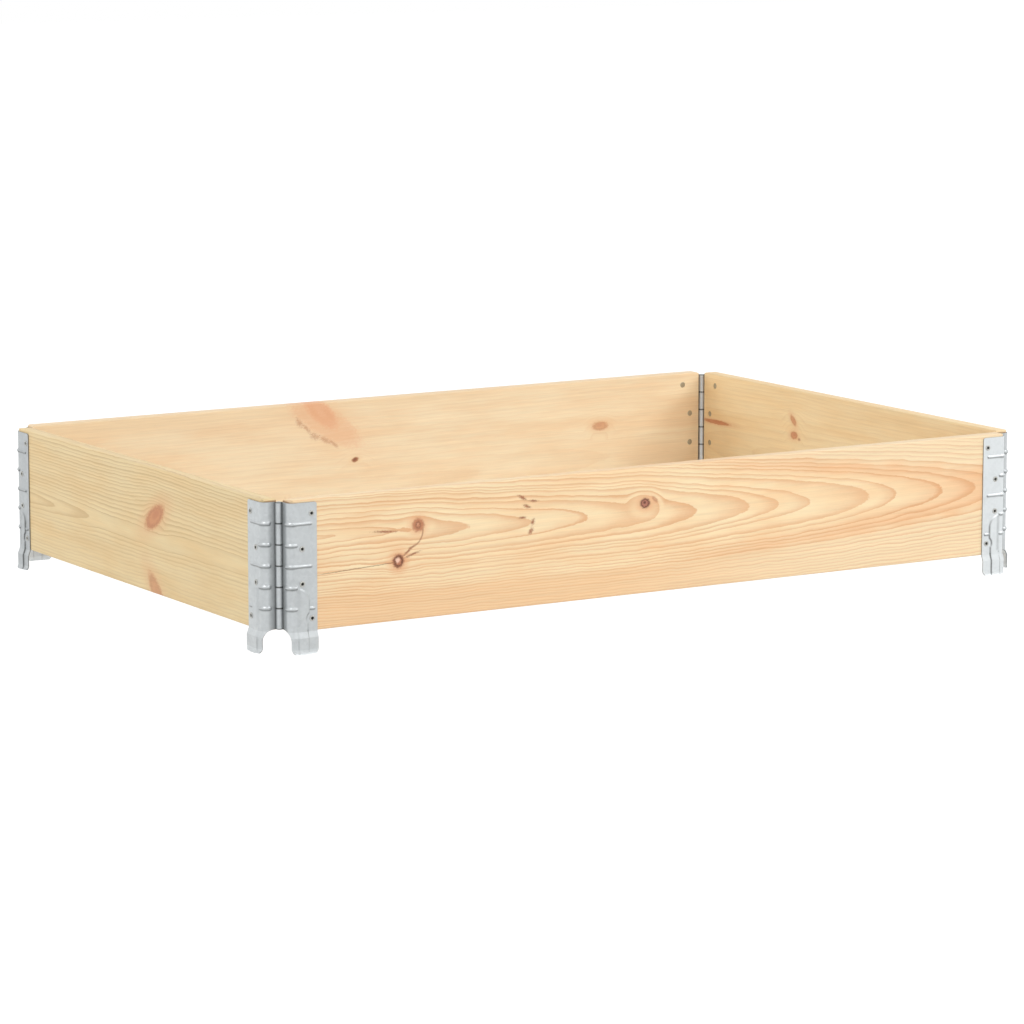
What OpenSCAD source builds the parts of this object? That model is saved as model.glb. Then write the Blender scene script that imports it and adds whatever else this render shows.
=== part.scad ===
// Wooden pallet collar: four boards hinged at the corners by leaves of pressed steel.
// +X runs along the long boards, +Y to the back and +Z up. The origin is the middle of the
// collar, on the surface that its legs stand on. All sizes are in millimetres.

/* [Collar] */
// Length across the outer faces of the end boards
collar_l = 1200; // [800:10:1600]
// Width across the outer faces of the side boards
collar_w = 800; // [500:10:1200]

/* [Boards] */
// Thickness of the boards
board_t = 20; // [18:0.5:28]
// Height of the boards
board_h = 172; // [160:1:220]
// Rounding of the long edges
arris_r = 2.5; // [1:0.25:4]
// Rounding of the upper and lower corners at the ends
end_corner_r = 6; // [3:0.5:10]
// Rounding of the inner upright edge at the ends
end_edge_r = 1.5; // [0.5:0.25:3]
// Gap between a board's end and the steel wrapped round it
end_gap = 0.4; // [0.2:0.1:1]

/* [Hinge leaves] */
// Thickness of the sheet steel
sheet_t = 1.5; // [1:0.1:2]
// Width of a leaf on the board's face, from its outer corner
leaf_w = 40.5; // [38:0.5:55]
// Outer radius of the bend round the board's end
bend_r = 9; // [6:0.5:10]
// Rounding of the upper corner on the board's face
leaf_corner_r = 3; // [1:0.5:6]
// Top of a leaf below the top of its board
leaf_top_gap = 4; // [2:0.5:10]
// Lower edge of a leaf above the bottom of its board
leaf_bottom_gap = 2; // [0:0.5:6]

/* [Stamping] */
// Width of a bead where it leaves the sheet
bead_w = 5; // [4:0.25:6]
// Height of a bead above the sheet
bead_h = 1.4; // [0.8:0.1:1.6]
// End of the long beads, from the leaf's outer corner
bead_long = 34; // [28:0.5:36]
// End of the short beads, from the leaf's outer corner
bead_short = 13; // [11:0.5:14]
// Middle of the outer bead below the arch, from the leaf's outer corner
bead_outer = 33; // [31:0.5:34]
// Height of the arched panel and the leg's rib above the sheet
panel_h = 1.5; // [0.8:0.1:1.8]
// Near edge of the panel and the rib, from the leaf's outer corner
panel_from = 10.5; // [10:0.5:12]
// Radius of the panel's arched top
arch_r = 18.5; // [17:0.5:21]
// Width of the leg's rib
rib_w = 16.5; // [12:0.5:18]
// Plain ring left round the lowest rivet beside the panel
rivet_land = 4; // [2:0.5:5]

/* [Legs] */
// Height of the legs below the boards
leg_h = 29; // [25:0.5:40]
// Step of the legs outwards from the boards
leg_step = 3; // [2:0.25:5]
// Height over which the legs step out
leg_step_h = 8; // [6:0.5:10]
// Flare of the legs' lower edge outwards
flare = 2; // [0.5:0.25:3]
// Height of the flare
flare_h = 6; // [4:0.5:8]
// Radius of the curve from the board's end to the leg
leg_curve_r = 15; // [13:0.5:20]
// Rounding of the legs' lower corners
foot_r = 7; // [3:0.5:9]

/* [Hinges] */
// Diameter of the hinge pins
pin_d = 6; // [4:0.1:7]
// Radial running clearance of the pins
pin_clear = 0.05; // [0.02:0.01:0.1]
// Number of knuckles on a hinge
knuckle_count = 6; // [4:2:8]
// Gap between neighbouring knuckles
knuckle_gap = 0.4; // [0.2:0.1:1]
// Gap round the knuckles of the opposite leaf
notch_gap = 0.6; // [0.4:0.1:2]
// Hinge axis inside the boards' inner faces
hinge_set = 0.5; // [0.4:0.1:2]
// Thickness of the pins' peened heads
pin_head_t = 0.8; // [0.5:0.1:1.5]
// Rim of the pins' peened heads outside the pin
pin_head_rim = 0.8; // [0.4:0.1:1]
// End play of the pins
pin_play = 0.2; // [0.1:0.05:0.5]

/* [Rivets] */
// Rivets in each leaf
rivet_count = 4; // [4:1:5]
// Diameter of the rivets' shanks
rivet_d = 5.6; // [4:0.1:6]
// Gap round the rivets' shanks
rivet_clear = 0.1; // [0.05:0.05:0.3]
// Outer and inner rivet from the leaf's top and bottom
rivet_edge = 14.5; // [10:0.5:16]
// Rivets near the leaf's free edge, from its outer corner
rivet_far = 33; // [31:0.5:34]
// Rivets near the bend, from the leaf's outer corner
rivet_near = 19; // [17:0.5:20]
// Diameter of the rolled ring on the leaf
rivet_ring_d = 8; // [7:0.25:8.5]
// Height of the rolled ring above the leaf
rivet_ring_h = 0.9; // [0.5:0.1:1.2]
// Diameter of the hollow in the rivets
rivet_hollow_d = 3.8; // [2:0.1:3.9]
// Depth of the hollow below the leaf's face
rivet_hollow_l = 6; // [3:0.5:10]
// Diameter of the head let into the board's inner face
rivet_head_d = 8.5; // [7.5:0.25:12]
// Thickness of that head
rivet_head_t = 1.2; // [0.8:0.1:2]
// Depth of that head below the board's inner face
rivet_sunk = 0.2; // [0.1:0.05:0.5]

/* [Hidden] */
$fn = 64;
wood = "#ebd2a3";
steel = "#c3c8cb";

// Plan, from the hinge axis: +X along the board from the corner, outwards is -Y
axis_in = board_t + hinge_set;
span_l = collar_l / 2 - axis_in;
span_w = collar_w / 2 - axis_in;
skin_y = -axis_in;
face_y = skin_y - sheet_t;
cap_x = pin_d / 2;
end_x = cap_x + sheet_t + end_gap;
bore_r = pin_d / 2 + pin_clear;
knuckle_r = bore_r + sheet_t;
notch = knuckle_r + notch_gap;
board_bend_r = bend_r - sheet_t + end_gap;

// Near end of a leg's foot, where the upright end of its curve meets the flared bend
foot_bend_r = bend_r + leg_step + flare;
foot_past = notch + sqrt(2) * leg_curve_r + face_y;
foot_turn = min(90, 45 + asin(max(-1, min(1, foot_past / (sqrt(2) * foot_bend_r)))));
leg_near = cap_x + bend_r - foot_bend_r * cos(foot_turn) + max(0, foot_past - foot_bend_r);

// Heights
board_z = leg_h;
board_top = board_z + board_h;
leaf_z = board_z + leaf_bottom_gap;
leaf_top = board_top - leaf_top_gap;
leaf_h = leaf_top - leaf_z;
row_h = leaf_h / knuckle_count;
rivet_pitch = (leaf_h - 2 * rivet_edge) / (rivet_count - 1);

// Bead section: a circle's segment standing bead_h above the sheet
bead_r = (bead_w * bead_w / 4 + bead_h * bead_h) / (2 * bead_h);
bead_sink = bead_r - bead_h;
bead_root = sheet_t / 2;

// Room that every cut is given past the surfaces it goes through
over = 1;
reach = leaf_w + axis_in;

function board_span(i) = i % 2 == 0 ? span_l : span_w;
function row_break(k) = leaf_top - k * row_h;
function rivet_z(k) = leaf_top - rivet_edge - k * rivet_pitch;
function rivet_at(k) = k == 0 || k == rivet_count - 1 ? rivet_far : rivet_near;

// Places: sides 0 to 3 are front, right, back and left, each seen from outside the collar
module on_side(i) {
    rotate(90 * i) translate([0, i % 2 == 0 ? -span_w : -span_l, 0]) children();
}

module at_first_end(i) {
    on_side(i) translate([-board_span(i), 0, 0]) children();
}

module at_second_end(i) {
    on_side(i) translate([board_span(i), 0, 0]) mirror([1, 0, 0]) children();
}

// A drawing in X and Z, given depth from y0 outwards to y1
module through(y0, y1) {
    translate([0, y0, 0]) rotate([90, 0, 0]) linear_extrude(y0 - y1) children();
}

// The waste outside a round corner: the corner is the origin and the drawing is in +X and +Y
module corner_waste(r) {
    difference() {
        translate([-over, -over]) square(r + over);
        translate([r, r]) circle(r);
    }
}

// Boards
module board_section() {
    difference() {
        translate([skin_y, board_z]) square([board_t, board_h]);
        for (j = [0, 1]) for (k = [0, 1]) {
            translate([j == 0 ? skin_y : -hinge_set, k == 0 ? board_z : board_top])
                mirror([j, 0]) mirror([0, k]) corner_waste(arris_r);
        }
    }
}

module board_plan_waste() {
    translate([end_x, skin_y]) corner_waste(board_bend_r);
    translate([end_x, -hinge_set]) mirror([0, 1]) corner_waste(end_edge_r);
}

module board_front_waste() {
    translate([end_x, board_z]) corner_waste(end_corner_r);
    translate([end_x, board_top]) mirror([0, 1]) corner_waste(end_corner_r);
}

module rivet_hole(k) {
    translate([cap_x + rivet_at(k), 0, rivet_z(k)]) rotate([90, 0, 0]) {
        cylinder(h = reach, r = rivet_d / 2 + rivet_clear);
        cylinder(h = hinge_set + rivet_sunk + rivet_head_t, r = rivet_head_d / 2 + rivet_clear);
    }
}

module board_end_cuts() {
    translate([0, 0, board_z - over]) linear_extrude(board_h + 2 * over) board_plan_waste();
    through(0, skin_y - over) board_front_waste();
    for (k = [0 : rivet_count - 1]) rivet_hole(k);
}

module board(i) {
    half = board_span(i) - end_x;
    color(wood) difference() {
        on_side(i) translate([-half, 0, 0])
            rotate([90, 0, 90]) linear_extrude(2 * half) board_section();
        at_first_end(i) board_end_cuts();
        at_second_end(i) board_end_cuts();
    }
}

// Sheet of a leaf: its upright section has X outwards from the board's skin and Y up. It goes
// straight down the board, steps out below it, goes straight down again and ends in the flare.
module sheet_section(from, to, bottom) {
    lip = leg_step + flare * (1 - bottom / flare_h);
    line = [[0, leaf_top], [0, leg_h], [leg_step, leg_h - leg_step_h], [leg_step, flare_h], [lip, bottom]];
    polygon(concat(
        [for (p = line) [from + p[0], p[1]]],
        [for (k = [len(line) - 1 : -1 : 0]) [to + line[k][0], line[k][1]]]
    ));
}

// A section of the sheet, drawn along the board's face
module along_face(from, to) {
    translate([cap_x + from, skin_y, 0]) rotate([90, 0, 90])
        linear_extrude(to - from) mirror([1, 0]) children();
}

module sheet_bend() {
    translate([cap_x + bend_r, face_y + bend_r, 0]) rotate(180)
        rotate_extrude(angle = 90) translate([bend_r - sheet_t, 0]) sheet_section(0, sheet_t, 0);
}

module sheet_cap() {
    cap_y = face_y + bend_r;
    translate([cap_x, cap_y, board_z]) cube([sheet_t, -notch - cap_y, leaf_top - board_z]);
}

// Panel in front view: a quarter arch that narrows to the leg's rib past the lowest rivet
module panel_front(inset) {
    last = rivet_count - 1;
    foot = rivet_z(last);
    spring = row_break(knuckle_count - 2) - arch_r;
    near = cap_x + panel_from + inset;
    difference() {
        union() {
            translate([cap_x + panel_from, spring]) intersection() {
                circle(arch_r - inset);
                translate([inset, 0]) square(arch_r);
            }
            translate([near, foot]) square([arch_r - 2 * inset, spring - foot]);
            translate([near, -over]) square([rib_w - 2 * inset, foot + over]);
        }
        translate([cap_x + rivet_at(last), foot]) circle(rivet_ring_d / 2 + rivet_land + inset);
    }
}

// The panel and the rib follow the sheet: raised outside and, one sheet further in, hollow inside
module panel() {
    intersection() {
        along_face(bend_r, leaf_w) sheet_section(0, sheet_t + panel_h, 0);
        through(0, -2 * reach) panel_front(0);
    }
}

module panel_hollow() {
    intersection() {
        along_face(bend_r, leaf_w) sheet_section(-over, panel_h, -over);
        through(0, -2 * reach) panel_front(sheet_t);
    }
}

// Waste beside the curve that runs from the board's end down to the leg, seen along the corner
module leg_curve_waste() {
    start = (cap_x + notch) / sqrt(2);
    middle = leaf_z - leg_curve_r;
    translate([start, middle]) circle(leg_curve_r);
    translate([start - reach, middle]) square([reach, leg_curve_r]);
    translate([start - reach, -over]) square([reach + leg_curve_r, middle + over]);
}

module foot_waste() {
    translate([leg_near, 0]) corner_waste(foot_r);
    translate([cap_x + leaf_w, 0]) mirror([1, 0]) corner_waste(foot_r);
}

// Beads: the section has X outwards from the sheet's face and Y up
module bead_section() {
    intersection() {
        translate([-bead_sink, 0]) circle(bead_r);
        translate([-bead_root, -bead_r]) square([bead_root + bead_h + over, 2 * bead_r]);
    }
}

// Half a dome that closes a bead running along +X on a face that looks along -Y
module bead_end() {
    intersection() {
        translate([0, bead_sink, 0]) sphere(bead_r);
        translate([0, -bead_h - over, -bead_r]) cube([bead_r, bead_h + over + bead_root, 2 * bead_r]);
    }
}

module bead_on_face(from, to, z) {
    translate([cap_x + from, face_y, z]) rotate([-90, 0, 0]) rotate([0, 90, 0])
        linear_extrude(to - from) bead_section();
    translate([cap_x + to, face_y, z]) bead_end();
}

module bead_round_bend(to, z) {
    translate([cap_x + bend_r, face_y + bend_r, z]) rotate(180)
        rotate_extrude(angle = 90) translate([bend_r, 0]) bead_section();
    translate([cap_x, face_y + bend_r, z]) mirror([1, -1, 0]) bead_end();
    bead_on_face(bend_r, to - bead_w / 2, z);
}

module beads() {
    lowest = knuckle_count - 1;
    for (k = [1 : lowest]) {
        to = k % 2 == 1 && k < lowest ? bead_long : bead_short;
        bead_round_bend(to, row_break(k));
    }
    outer_from = bead_outer - bead_w / 2;
    bead_on_face(outer_from, bead_outer + bead_w / 2, row_break(lowest));
    translate([cap_x + outer_from, face_y, row_break(lowest)]) mirror([1, 0, 0]) bead_end();
}

// Knuckles of the odd rows, counted from the top, or of the even rows
module knuckles(first) {
    h = row_h - knuckle_gap;
    for (k = [first : 2 : knuckle_count - 1]) {
        translate([0, 0, row_break(k + 1) + knuckle_gap / 2]) {
            cylinder(h = h, r = knuckle_r);
            translate([cap_x, -notch - over, 0]) cube([sheet_t, notch + over, h]);
        }
    }
}

module leaf(first) {
    color(steel) difference() {
        union() {
            along_face(bend_r, leaf_w) sheet_section(0, sheet_t, 0);
            sheet_bend();
            sheet_cap();
            panel();
            beads();
            knuckles(first);
        }
        panel_hollow();
        rotate([90, 0, -45]) linear_extrude(4 * reach, center = true) leg_curve_waste();
        through(0, -2 * reach) foot_waste();
        through(0, -2 * reach) translate([cap_x + leaf_w, leaf_top])
            mirror([1, 0]) mirror([0, 1]) corner_waste(leaf_corner_r);
        translate([0, 0, leaf_z - over]) cylinder(h = leaf_h + 2 * over, r = bore_r);
        for (k = [0 : rivet_count - 1]) rivet_hole(k);
    }
}

// Hinge pin: a rod with its ends peened over the knuckles
module pin(i) {
    head_z = leaf_h / 2 - knuckle_gap / 2 + pin_play / 2;
    head_r = pin_d / 2 + pin_head_rim;
    dome_r = (head_r * head_r + pin_head_t * pin_head_t) / (2 * pin_head_t);
    color(steel) at_first_end(i) translate([0, 0, leaf_z + leaf_h / 2]) {
        translate([0, 0, -head_z]) cylinder(h = 2 * head_z, r = pin_d / 2);
        for (side = [0, 1]) mirror([0, 0, side]) translate([0, 0, head_z])
            rotate_extrude() intersection() {
                translate([0, pin_head_t - dome_r]) circle(dome_r);
                square([head_r, pin_head_t]);
            }
    }
}

// Semi-tubular rivet: sunk head inside the board, ring rolled over on the leaf
module rivet_profile() {
    grip = board_t + sheet_t - rivet_sunk - rivet_head_t;
    ring_r = rivet_ring_d / 2;
    hollow_r = rivet_hollow_d / 2;
    mid = (ring_r + hollow_r) / 2;
    difference() {
        union() {
            translate([0, -rivet_head_t]) square([rivet_head_d / 2, rivet_head_t]);
            square([rivet_d / 2, grip]);
            translate([0, grip]) square([mid, rivet_ring_h]);
            intersection() {
                translate([mid, grip + rivet_ring_h - (ring_r - mid)]) circle(ring_r - mid);
                translate([0, grip]) square([ring_r, rivet_ring_h]);
            }
        }
        translate([0, grip - rivet_hollow_l]) square([hollow_r, rivet_hollow_l + rivet_ring_h + over]);
    }
}

module rivets() {
    color(steel) for (k = [0 : rivet_count - 1]) {
        translate([cap_x + rivet_at(k), -hinge_set - rivet_sunk - rivet_head_t, rivet_z(k)])
            rotate([90, 0, 0]) rotate_extrude() rivet_profile();
    }
}

// Sub-parts
module front_board() board(0);
module right_board() board(1);
module back_board() board(2);
module left_board() board(3);
module front_leaf_left() at_first_end(0) leaf(0);
module front_leaf_right() at_second_end(0) leaf(1);
module right_leaf_front() at_first_end(1) leaf(0);
module right_leaf_back() at_second_end(1) leaf(1);
module back_leaf_right() at_first_end(2) leaf(0);
module back_leaf_left() at_second_end(2) leaf(1);
module left_leaf_back() at_first_end(3) leaf(0);
module left_leaf_front() at_second_end(3) leaf(1);
module front_left_pin() pin(0);
module front_right_pin() pin(1);
module back_right_pin() pin(2);
module back_left_pin() pin(3);
module front_rivets_left() at_first_end(0) rivets();
module front_rivets_right() at_second_end(0) rivets();
module right_rivets_front() at_first_end(1) rivets();
module right_rivets_back() at_second_end(1) rivets();
module back_rivets_right() at_first_end(2) rivets();
module back_rivets_left() at_second_end(2) rivets();
module left_rivets_back() at_first_end(3) rivets();
module left_rivets_front() at_second_end(3) rivets();

front_board();
right_board();
back_board();
left_board();
front_leaf_left();
front_leaf_right();
right_leaf_front();
right_leaf_back();
back_leaf_right();
back_leaf_left();
left_leaf_back();
left_leaf_front();
front_left_pin();
front_right_pin();
back_right_pin();
back_left_pin();
front_rivets_left();
front_rivets_right();
right_rivets_front();
right_rivets_back();
back_rivets_right();
back_rivets_left();
left_rivets_back();
left_rivets_front();
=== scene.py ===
import math

import bpy
import numpy as np
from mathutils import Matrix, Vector


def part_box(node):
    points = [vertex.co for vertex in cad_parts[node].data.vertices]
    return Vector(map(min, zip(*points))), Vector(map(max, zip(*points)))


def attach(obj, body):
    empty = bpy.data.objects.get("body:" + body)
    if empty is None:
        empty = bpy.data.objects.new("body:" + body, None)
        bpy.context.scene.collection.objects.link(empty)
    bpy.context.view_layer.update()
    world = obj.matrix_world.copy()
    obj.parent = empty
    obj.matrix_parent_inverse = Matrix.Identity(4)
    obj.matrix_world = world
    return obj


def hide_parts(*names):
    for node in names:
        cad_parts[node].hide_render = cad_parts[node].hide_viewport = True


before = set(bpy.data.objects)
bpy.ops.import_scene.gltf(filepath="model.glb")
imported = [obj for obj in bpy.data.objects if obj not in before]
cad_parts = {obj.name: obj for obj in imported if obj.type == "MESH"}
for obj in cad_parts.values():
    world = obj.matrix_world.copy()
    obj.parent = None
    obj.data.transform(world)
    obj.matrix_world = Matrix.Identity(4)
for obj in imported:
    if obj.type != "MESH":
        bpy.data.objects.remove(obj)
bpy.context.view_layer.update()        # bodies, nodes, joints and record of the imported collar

scene = bpy.context.scene
scene.view_settings.view_transform = "Standard"
print("collar: frame loaded,", len(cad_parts), "nodes")

# The sides follow each other by quarter turns, and side i starts at pin i, seen from outside
sides = ["front", "right", "back", "left"]
pins = ["front_left_pin", "front_right_pin", "back_right_pin", "back_left_pin"]
ends = {
    "front": ["left", "right"],
    "right": ["front", "back"],
    "back": ["right", "left"],
    "left": ["back", "front"],
}
mm = 0.001               # a millimetre in metres, the frame's unit
toMm = 1000.0


# Camera, as the photograph was taken
cameraView = {
    "place": (-3.081, -5.087, 1.064),
    "turn": 31.202,      # degrees right of straight at the front board
    "down": 9.389,       # degrees below level
    "lens": 148.0,
    "sensor": 36.0,
}


def addCamera(view):
    data = bpy.data.cameras.new("camera")
    data.lens = view["lens"]
    data.sensor_width = view["sensor"]
    camera = bpy.data.objects.new("camera", data)
    camera.location = view["place"]
    camera.rotation_euler = (math.radians(90 - view["down"]), 0, -math.radians(view["turn"]))
    scene.collection.objects.link(camera)
    scene.camera = camera


addCamera(cameraView)
print("collar: camera set")


# Shader maths
class Wire:
    # A socket that does sums: an expression on wires adds Math nodes to their tree
    def __init__(self, tree, socket=None):
        self.tree = tree
        self.socket = socket

    def add(self, kind, settings, values, output=0):
        node = self.tree.nodes.new(kind)
        for name, setting in settings.items():
            setattr(node, name, setting)
        for name, value in values.items():
            if isinstance(value, Wire):
                self.tree.links.new(value.socket, node.inputs[name])
            else:
                node.inputs[name].default_value = value
        return Wire(self.tree, node.outputs[output] if node.outputs else None)

    def maths(self, operation, first, second=0.0):
        return self.add("ShaderNodeMath", {"operation": operation}, {0: first, 1: second})

    def __add__(self, other):
        return self.maths("ADD", self, other)

    def __sub__(self, other):
        return self.maths("SUBTRACT", self, other)

    def __rsub__(self, other):
        return self.maths("SUBTRACT", other, self)

    def __mul__(self, other):
        return self.maths("MULTIPLY", self, other)

    def __truediv__(self, other):
        return self.maths("DIVIDE", self, other)

    def __rtruediv__(self, other):
        return self.maths("DIVIDE", other, self)

    def __pow__(self, other):
        return self.maths("POWER", self, other)

    __radd__ = __add__
    __rmul__ = __mul__

    def over(self, other):
        return self.maths("MAXIMUM", self, other)

    def under(self, other):
        return self.maths("MINIMUM", self, other)

    def size(self):
        return self.maths("ABSOLUTE", self)

    def whole(self):
        return self.maths("FLOOR", self)

    def part(self):
        return self.maths("FRACT", self)

    def hypot(self, other):
        return (self * self + other * other) ** 0.5

    # A noise as a swing to both sides, so far from end to end
    def swing(self, amount):
        return (self - 0.5) * amount

    # What goes from 0 to 1 goes from low to high
    def between(self, low, high):
        return self * (high - low) + low

    # A step from 0 at low to 1 at high, straight or smooth; low may be the larger one
    def step(self, low, high, kind="LINEAR"):
        values = {"Value": self, "From Min": low, "From Max": high}
        return self.add("ShaderNodeMapRange", {"interpolation_type": kind}, values)

    def ease(self, low, high):
        return self.step(low, high, "SMOOTHSTEP")

    # This wire is the share of the second colour; in a Mix node of colours the sockets 6 and 7 are
    # the two colours, and output 2 is the mixed one
    def colour(self, first, second):
        return self.add("ShaderNodeMix", {"data_type": "RGBA"}, {0: self, 6: first, 7: second}, 2)

    # This wire is a colour, made darker by a grey level
    def shaded(self, level):
        settings = {"data_type": "RGBA", "blend_type": "MULTIPLY"}
        return self.add("ShaderNodeMix", settings, {0: 1.0, 6: self, 7: self.vector(level, level, level)}, 2)

    def vector(self, x, y, z):
        return self.add("ShaderNodeCombineXYZ", {}, {"X": x, "Y": y, "Z": z})

    def noise(self, vector, scale, detail=2.0, rough=0.5):
        values = {"Vector": vector, "Scale": scale, "Detail": detail, "Roughness": rough}
        return self.add("ShaderNodeTexNoise", {}, values)


# A colour as it looks on the screen, each part from 0 to 255, made linear by the sRGB curve
def tone(red, green, blue):
    parts = [part / 255 for part in (red, green, blue)]
    return tuple(p / 12.92 if p <= 0.04045 else ((p + 0.055) / 1.055) ** 2.4 for p in parts) + (1.0,)


def newMaterial(name):
    material = bpy.data.materials.new(name)
    material.use_nodes = True
    material.node_tree.nodes.clear()
    return material, Wire(material.node_tree)


def closeMaterial(paint, values):
    shader = paint.add("ShaderNodeBsdfPrincipled", {}, values)
    paint.add("ShaderNodeOutputMaterial", {}, {"Surface": shader})


# Floor, sky and lamps
stageSettings = {
    "floorSize": 30.0,
    "floorTone": tone(238, 238, 236),
    "white": 0.78,           # share of plain white in what the camera sees of the floor
    "level": 1.22,           # and its level, so that the far floor is white as well
    "sky": 0.54,             # light from all round
    "skyTone": tone(246, 249, 255),
}
lamps = {
    "key": {"place": (2.4, -4.8, 2.6), "size": 3.2, "power": 112.0, "gleams": False},
    "fill": {"place": (-3.8, 3.0, 2.0), "size": 3.0, "power": 80.0, "gleams": False},
    "overLeft": {"place": (-2.8, -1.4, 4.3), "size": 0.9, "power": 40.0, "gleams": True},
    "overRight": {"place": (1.1, -2.8, 3.9), "size": 1.0, "power": 22.0, "gleams": True},
    "side": {"place": (3.4, -1.65, 2.75), "size": 0.8, "power": 22.0, "gleams": True},
}
lampAim = (0.0, 0.0, 0.1)


# Rays that are meant to see the plain background: from the camera, or off metal and glass
def backgroundRays(paint):
    names = ("Is Camera Ray", "Is Glossy Ray", "Is Transmission Ray")
    rays = [paint.add("ShaderNodeLightPath", {}, {}, name) for name in names]
    return rays[0].over(rays[1]).over(rays[2])


def addFloor(settings):
    material, paint = newMaterial("floor")
    lit = paint.add("ShaderNodeBsdfDiffuse", {}, {"Color": settings["floorTone"]})
    plain = paint.add("ShaderNodeEmission", {}, {"Color": (1, 1, 1, 1), "Strength": settings["level"]})
    share = backgroundRays(paint) * settings["white"]
    mixed = paint.add("ShaderNodeMixShader", {}, {0: share, 1: lit, 2: plain})
    paint.add("ShaderNodeOutputMaterial", {}, {"Surface": mixed})
    half = settings["floorSize"] / 2
    corners = [(-half, -half, 0), (half, -half, 0), (half, half, 0), (-half, half, 0)]
    mesh = bpy.data.meshes.new("floor")
    mesh.from_pydata(corners, [], [(0, 1, 2, 3)])
    mesh.materials.append(material)
    floor = bpy.data.objects.new("floor", mesh)
    scene.collection.objects.link(floor)


def addSky(settings):
    world = bpy.data.worlds.new("sky")
    world.use_nodes = True
    world.node_tree.nodes.clear()
    scene.world = world
    paint = Wire(world.node_tree)
    seen = backgroundRays(paint)
    strength = seen * (1 - settings["sky"]) + settings["sky"]
    colour = seen.colour(settings["skyTone"], (1, 1, 1, 1))
    sky = paint.add("ShaderNodeBackground", {}, {"Color": colour, "Strength": strength})
    paint.add("ShaderNodeOutputWorld", {}, {"Surface": sky})


def addLamp(name, lamp, aim):
    data = bpy.data.lights.new(name, "AREA")
    data.shape = "DISK"
    data.size = lamp["size"]
    data.energy = lamp["power"]
    item = bpy.data.objects.new(name, data)
    item.location = lamp["place"]
    towards = Vector(aim) - Vector(lamp["place"])
    item.rotation_euler = towards.to_track_quat("-Z", "Y").to_euler()
    item.visible_glossy = lamp["gleams"]     # whether bare metal shows the lamp itself
    scene.collection.objects.link(item)


addFloor(stageSettings)
addSky(stageSettings)
for lampName, lampSettings in lamps.items():
    addLamp(lampName, lampSettings, lampAim)
print("collar: floor, sky and lamps set")


# Pine boards. Places on a board are in millimetres: along it in the frame's own X or Y, its height
# in Z, and its depth in from the outer face.


# A knot: its middle, half sizes and tilt, how strongly it shows, how wide the rings part round it,
# and how far they bulge there
def knotAt(at, kind, size, depth, slant=0.0, push=0.0, lift=0.0):
    return {
        "at": at, "kind": kind, "size": size, "depth": depth,
        "slant": slant, "push": push, "lift": lift,
    }


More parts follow.
